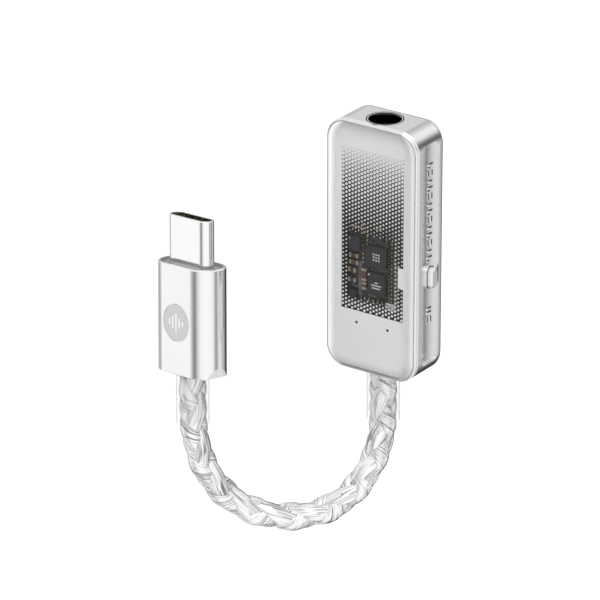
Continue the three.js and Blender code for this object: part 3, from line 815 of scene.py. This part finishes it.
def groove_tool():
    """The shallow hollow along the right side: a rounded slot whose floor is part of a wide cylinder."""
    middle = (groove_top + groove_bottom) / 2
    outline = rounded_outline(groove_width / 2, (groove_top - groove_bottom) / 2, groove_corner, 10)
    floor_x = half_width - groove_depth
    rings = []
    for x in (floor_x - 1, half_width + 2):
        rings.append([body_point(x, middle + v, groove_middle + u) for u, v in outline])
    slot = loft("groove", rings, ALUMINIUM)
    centre_x, centre_front = floor_x + groove_floor_radius, groove_middle - groove_lag
    ends = (body_point(centre_x, y, centre_front) for y in (groove_bottom - 1, groove_top + 1))
    carve(slot, rod("scoop", *ends, groove_floor_radius, ALUMINIUM, 240), "INTERSECT")
    return slot


def build_cover():
    rings = [body_ring(cover_back, cover_inset), body_ring(rim_front, cover_inset)]
    steps = 12
    for step in range(1, steps + 1):
        angle = math.pi / 2 * step / steps
        inset = cover_flat_inset - (cover_flat_inset - cover_inset) * math.cos(angle)
        rings.append(body_ring(rim_front + (cover_face - rim_front) * math.sin(angle), inset))
    cover = loft("cover_fine", rings, COVER_GLASS)
    return settle(cover, replaces=("front_cover",), sharp=40, bevel_mm=0.03)


print_front = cover_back - 0.015
print_back = print_front - 0.1


def build_print():
    """The white layer behind the cover, with its window, the notch beside the switch and two pinholes."""
    edge = cover_inset + 0.02
    sheet = loft("print_fine", [body_ring(print_back, edge), body_ring(print_front, edge)], PRINT)
    notch_left = window_half_width - notch_width
    notch_low, notch_high = notch_middle - notch_height / 2, notch_middle + notch_height / 2
    outline = [
        (window_half_width, window_top), (-window_half_width, window_top),
        (-window_half_width, window_bottom), (window_half_width, window_bottom),
        (window_half_width, notch_low), (notch_left, notch_low),
        (notch_left, notch_high), (window_half_width, notch_high),
    ]
    rings = [[body_point(x, y, front) for x, y in outline] for front in (print_back - 1, print_front + 1)]
    carve(sheet, loft("window", rings, PRINT))
    for side in (-led_side, led_side):
        ends = body_point(side, led_height, 1), body_point(side, led_height, 4)
        carve(sheet, rod("pinhole", *ends, led_hole, PRINT, 20))
    return settle(sheet, replaces=("print_mask",), sharp=30)


dot_columns, dot_pitch_x, dot_pitch_y = 20, 0.51, 0.587
# Dot radius in millimetres by depth below the window's top edge.
DOT_RADII = [
    (0.0, 0.3), (1.15, 0.276), (2.3, 0.25), (3.5, 0.23), (4.7, 0.212), (5.9, 0.196), (7.1, 0.178),
    (8.3, 0.162), (9.4, 0.148), (10.6, 0.138), (11.8, 0.126), (14.0, 0.11), (19.0, 0.11), (21.5, 0.135),
    (22.6, 0.17), (24.5, 0.185),
]
# Inside these limits the dots fade out to leave the window clear.
clear_left, clear_right = -4.0, 3.55
clear_top, clear_bottom = -16.4, -26.3
fade_above, fade_below = 2.2, 0.6


def between(stops, place):
    for (a, value_a), (b, value_b) in zip(stops, stops[1:]):
        if place <= b:
            return value_a + (value_b - value_a) * max(place - a, 0) / (b - a)
    return stops[-1][1]


def build_dots():
    """The halftone: rows of white dots, touching at the top and shrinking to leave the middle clear."""
    solids = []
    rows = int((window_top - window_bottom) / dot_pitch_y) + 1
    for column in range(dot_columns):
        x = (column - (dot_columns - 1) / 2) * dot_pitch_x
        for row in range(rows):
            y = window_top - dot_pitch_y * (row + 0.5 * (column % 2))
            if y < window_bottom + 0.05:
                continue
            if x > window_half_width - notch_width and abs(y - notch_middle) < notch_height / 2:
                continue
            radius = between(DOT_RADII, window_top - y)
            if clear_left < x < clear_right:
                fade = min(max((y - clear_top) / fade_above, (clear_bottom - y) / fade_below), 1.0)
                if fade <= 0:
                    continue
                radius *= 0.55 + 0.45 * fade
            solids.append(disc(body_point, x, y, radius, print_back, print_front + 0.002))
    return scatter("halftone_dots", solids, PRINT)


build_housing()
build_button()
build_cover()
build_print()
build_dots()


# ---------------------------------------------------------------- the electronics behind the window
def on_board(x, y, width, height, tall, radius=0.0):
    """A low block that stands on the board, all in millimetres."""
    return tile(body_point, x, y, width, height, board_front, board_front + tall, radius)


def seen_box(node):
    """The middle and size of a CAD node's box, seen from the front, and how far it stands off the board."""
    low, high = (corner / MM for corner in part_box(node))
    return (low.x + high.x) / 2, (low.z + high.z) / 2, high.x - low.x, high.z - low.z, -low.y - board_front


# Copper runs and small parts in dark lacquer: x, y, width, height.
TRACES = [
    (-2.75, -24.8, 0.62, 7.4), (-0.6, -17.6, 0.5, 1.9), (0.4, -17.65, 2.9, 0.3), (0.5, -21.6, 2.6, 0.42),
    (-0.7, -25.7, 1.4, 0.5), (2.1, -24.4, 0.28, 4.8), (2.9, -22.4, 0.24, 8.2), (1.5, -17.4, 0.3, 1.6),
    (-3.6, -24.9, 1.2, 0.28), (3.25, -18.6, 0.7, 0.5), (3.3, -20.6, 0.5, 0.7),
]
# Columns of small gold pads: x, top, bottom.
PAD_COLUMNS = [(-2.3, -14.9, -21.2), (-1.62, -14.6, -20.8), (2.45, -17.4, -26.4), (4.35, -15.2, -20.0)]
pad_pitch = 0.62


def build_board_details():
    pads, traces, ends = [], [], []
    for number in range(1, 7):
        x, y, width, height, tall = seen_box(f"capacitor_{number}")
        for sign in (-1, 1):
            if width > height:
                place = (x + sign * (width / 2 - 0.14), y, 0.3, height + 0.04)
            else:
                place = (x, y + sign * (height / 2 - 0.16), width + 0.04, 0.34)
            ends.append(on_board(*place, tall + 0.03))
    for node, count in (("dac_chip", 8), ("processor_chip", 8), ("amplifier_chip", 5)):
        x, y, width, height, _ = seen_box(node)
        for i in range(count):
            along = (i - (count - 1) / 2) / count
            for sign in (-1, 1):
                pads.append(on_board(x + sign * (width / 2 + 0.09), y + along * height, 0.2, 0.16, 0.08))
                pads.append(on_board(x + along * width, y + sign * (height / 2 + 0.09), 0.16, 0.2, 0.08))
    for x, y, bottom in PAD_COLUMNS:
        while y > bottom:
            pads.append(on_board(x, y, 0.16, 0.34, 0.03, 0.08))
            y -= pad_pitch
    for y in (-15.55, -15.1):
        for x in (0.15, 0.75):
            ends.append(on_board(x, y, 0.3, 0.5, 0.35))
    for i in range(7):
        ends.append(on_board(-1.9 + i * 0.72, -26.5, 0.22, 0.5, 0.22))
        traces.append(on_board(-1.55 + i * 0.72, -27.0, 0.3, 0.9, 0.16))
    for i in range(5):
        pads.append(on_board(-4.3 + i * 0.42, -16.1, 0.22, 0.3, 0.05))
    for place in TRACES:
        traces.append(on_board(*place, 0.05, 0.1))
    for i in range(6):
        ends.append(on_board(3.4, -21.4 - i * 0.9, 0.3, 0.3, 0.2))
        traces.append(on_board(3.4, -21.85 - i * 0.9, 0.34, 0.5, 0.24))
    scatter("board_pads", pads, GOLD)
    scatter("board_traces", traces, TRACE, 0.02)
    scatter("tinned_ends", ends, TIN, 0.03)


def build_chip_marks():
    """Plain marks: a square of dots on one chip, three lines on the other, and a dot at two corners."""
    top, ink = board_front + 0.75, 0.012
    marks = []
    for row in range(3):
        for column in range(3):
            place = (0.35 + (column - 1) * 0.42, -19.6 + (row - 1) * 0.42)
            marks.append(disc(body_point, *place, 0.13, top, top + ink, 10))
    for width, offset in ((0.6, 0.35), (1.7, -0.05), (1.4, -0.45)):
        marks.append(tile(body_point, 0.38, -23.75 + offset, width, 0.14, top, top + ink, 0.07))
    marks.append(disc(body_point, -0.85, -22.35, 0.12, top, top + ink, 12))
    low_top = board_front + 0.7
    marks.append(disc(body_point, -4.1, -17.7, 0.1, low_top, low_top + ink, 12))
    scatter("chip_marks", marks, PALE_INK)


for chip in ("dac_chip", "processor_chip", "amplifier_chip", "regulator_chip", "power_chip"):
    refined(chip, RESIN, 0.04)
for number in range(1, 7):
    refined(f"capacitor_{number}", CERAMIC, 0.04)
for led in ("left_led", "right_led"):
    refined(led, LENS, 0.06)
refined("oscillator", STEEL, 0.1)
refined("circuit_board", LACQUER, 0.02)
refined("left_board_screw", STEEL, 0.04)
refined("right_board_screw", STEEL, 0.04)
refined("cover_gasket", SEAL, 0.0)
build_board_details()
build_chip_marks()


# ---------------------------------------------------------------- jack, button and switch
bush_profile = [
    (jack_radius, jack_top + play), (bush_radius, jack_top + play), (bush_radius, -0.05),
    (bush_radius - 0.02, -0.03), (bush_mouth - 0.08, -0.03), (jack_radius + 0.05, -0.16),
    (jack_radius + 0.02, -0.24), (jack_radius, -0.5),
]
# A thin ring of bright steel round the bush's mouth: a painted highlight along its rounded lip.
highlight_ring_profile = [
    (bush_mouth - 0.08, -0.04), (bush_mouth + 0.03, -0.04), (bush_mouth + 0.03, -0.01),
    (bush_mouth + 0.01, 0.0), (bush_mouth - 0.06, 0.0), (bush_mouth - 0.08, -0.01),
]
mouth, upwards = Vector((0, 0, 0)), Vector((0, 0, 1))
bush = spun("jack_bush_fine", mouth, upwards, bush_profile, CHROME, 96)
settle(bush, replaces=("jack_bush",), sharp=24)
settle(spun("jack_bush_painted_highlight", mouth, upwards, highlight_ring_profile, STEEL, 96), sharp=24)
refined("jack_body", BLACK, 0.04)
for height in ("upper", "lower"):
    for side in ("left", "right"):
        refined(f"{side}_{height}_contact", GOLD, 0.03)
refined("switch_base", BLACK, 0.05)
refined("switch_plunger", BLACK, 0.05)
refined("cable_gland", BLACK, 0.05)
for number in range(1, 5):
    refined(f"core_wire_{number}", INSULATION, 0.0, 60)


def build_groove_marks():
    """Plain bars in the side groove, in a row above the button and a few below it: the engraved lettering,
    painted dark as the shade in its cuts, each with a pale copy as a painted highlight on the cut's lit edge.
    """
    floor_x = half_width - groove_depth

    def on_groove(across, y, proud):
        reach = (across - groove_lag) ** 2 / (2 * groove_floor_radius)
        return body_point(floor_x + reach + proud, y, groove_middle - across)

    def bar(across, y, width, height):
        size = (width, height, -0.01)
        # Each bar is painted dark as the shade inside the cut; the pale copy a little behind and below it is a
        # painted highlight on the cut's lit edge.
        marks.append(tile(on_groove, across + shift, y, *size, 0.012, height / 2))
        edges.append(tile(on_groove, across + shift - 0.15, y - 0.06, *size, 0.008, height / 2))

    shift, first, pitch = 0.35, -5.3, 1.14
    marks, edges = [], []
    for i in range(13):
        y = first - i * pitch
        if i % 3 == 0:
            bar(0.1, y, 1.3, 0.3)
            bar(-0.2, y - 0.45, 0.6, 0.28)
        elif i % 3 == 1:
            bar(0.55, y - 0.2, 0.3, 0.85)
            bar(-0.3, y - 0.2, 0.3, 0.85)
        else:
            bar(0.1, y - 0.2, 1.1, 0.28)
    for y in (-26.6, -27.2):
        bar(0.1, y, 1.2, 0.3)
    for across in (0.55, -0.3):
        bar(across, -28.3, 0.3, 0.9)
    scatter("groove_marks", marks, CUT_SHADE)
    scatter("groove_mark_painted_highlights", edges, PRINT)


build_groove_marks()


# ---------------------------------------------------------------- the plug
def plug_ring(width, thickness, along):
    outline = rounded_outline(width / 2, thickness / 2, thickness / 2, 28)
    return [plug_point(x, along, front) for x, front in outline]


def plug_bar(name, width, thickness, low, high, material=BRIGHT):
    return loft(name, [plug_ring(width, thickness, low), plug_ring(width, thickness, high)], material)


def build_plug_shell():
    top = plug_length
    rings = [
        plug_ring(plug_width - 0.16, plug_thickness - 0.16, 0),
        plug_ring(plug_width, plug_thickness, 0.1),
        plug_ring(plug_width, plug_thickness, top - plug_bevel),
        plug_ring(plug_width - 1.2 * plug_bevel, plug_thickness - 1.2 * plug_bevel, top - 0.06),
        plug_ring(plug_width - 2 * plug_bevel, plug_thickness - 2 * plug_bevel, top),
    ]
    shell = loft("plug_shell_fine", rings, BRIGHT)
    roof = top - dish_depth - plug_wall
    inside_width, inside_thickness = plug_width - 2 * plug_wall - 0.4, plug_thickness - 2 * plug_wall
    carve(shell, plug_bar("inside", inside_width, inside_thickness, plug_wall, roof))
    dish_width, dish_thickness = plug_width - 2 * plug_rim, plug_thickness - 2 * plug_rim
    carve(shell, plug_bar("dish", dish_width, dish_thickness, top - dish_depth, top + 1))
    carve(shell, plug_bar("tip_hole", tip_width + tip_gap, tip_thickness + tip_gap, top - 3, top + 1))
    carve(shell, rod("lead_hole", plug_point(0, -1, 0), plug_point(0, 2, 0), lead_radius + 0.2, BRIGHT))
    floor = plug_thickness / 2 - badge_depth
    ends = plug_point(0, badge_height, floor), plug_point(0, badge_height, plug_thickness)
    carve(shell, rod("recess", *ends, badge_radius + play, BRIGHT, 96))
    for side in (-1, 1):
        outside = plug_width / 2 + 1
        wedge = [
            (side * (plug_width / 2 - heel_width), -0.001), (side * outside, -0.001),
            (side * outside, heel_height * (1 + 1 / heel_width)),
        ]
        carve(shell, loft("heel", [[plug_point(x, y, z) for x, y in wedge] for z in (-6, 6)], BRIGHT))
    return settle(shell, replaces=("plug_shell",), sharp=24, bevel_mm=0.05)


def build_dish():
    """The satin lining of the hollow round the tip's foot, in darker aluminium as painted shade."""
    width, thickness = plug_width - 2 * plug_rim, plug_thickness - 2 * plug_rim
    lining, gap = 0.04, 0.01
    top, floor = plug_length, plug_length - dish_depth
    cup = plug_bar("plug_dish", width - gap, thickness - gap, floor + gap / 2, top - 0.05, SHADED)
    carve(cup, plug_bar("cup", width - 2 * lining, thickness - 2 * lining, floor + lining, top + 1))
    carve(cup, plug_bar("cup_hole", tip_width + tip_gap, tip_thickness + tip_gap, top - 3, top + 1))
    return settle(cup, sharp=24)


def build_tip():
    top = plug_length + tip_length
    rings = [
        plug_ring(tip_width, tip_thickness, tip_root),
        plug_ring(tip_width, tip_thickness, top - 0.12),
        plug_ring(tip_width - 0.14, tip_thickness - 0.14, top),
    ]
    tip = loft("usb_tip_shell_fine", rings, STEEL)
    bore_width, bore_thickness = tip_width - 2 * tip_wall, tip_thickness - 2 * tip_wall
    carve(tip, plug_bar("bore", bore_width, bore_thickness, tip_root - 1, top + 1))
    return settle(tip, replaces=("usb_tip_shell",), sharp=30, bevel_mm=0.03)


def build_badge():
    face = plug_thickness / 2
    ends = plug_point(0, badge_height, face - badge_depth + 0.02), plug_point(0, badge_height, face)
    badge = rod("plug_badge_fine", *ends, badge_radius, BADGE, 96)
    return settle(badge, replaces=("plug_badge",), sharp=40, bevel_mm=0.02)


plug_pieces = [
    build_plug_shell(),
    build_dish(),
    build_badge(),
    build_tip(),
    refined("usb_tip_core", BLACK, 0.03),
    refined("front_contact_row", GOLD, 0.0),
    refined("back_contact_row", GOLD, 0.0),
    refined("left_tip_latch", STEEL, 0.03),
    refined("right_tip_latch", STEEL, 0.03),
    refined("plug_board", LACQUER, 0.03),
    refined("plug_chip", RESIN, 0.05),
    refined("plug_gland", BLACK, 0.05),
]


def build_badge_mark():
    """A plain sound-level sign: five upright bars of different heights."""
    face = plug_thickness / 2
    bars = []
    for i, height in enumerate((0.9, 1.9, 2.7, 1.5, 0.8)):
        x = (i - 2) * 0.68
        bars.append(tile(plug_point, x, badge_height, 0.3, height, face - 0.01, face + 0.012, 0.15))
    return scatter("badge_mark", bars, BRIGHT)


plug_pieces.append(build_badge_mark())
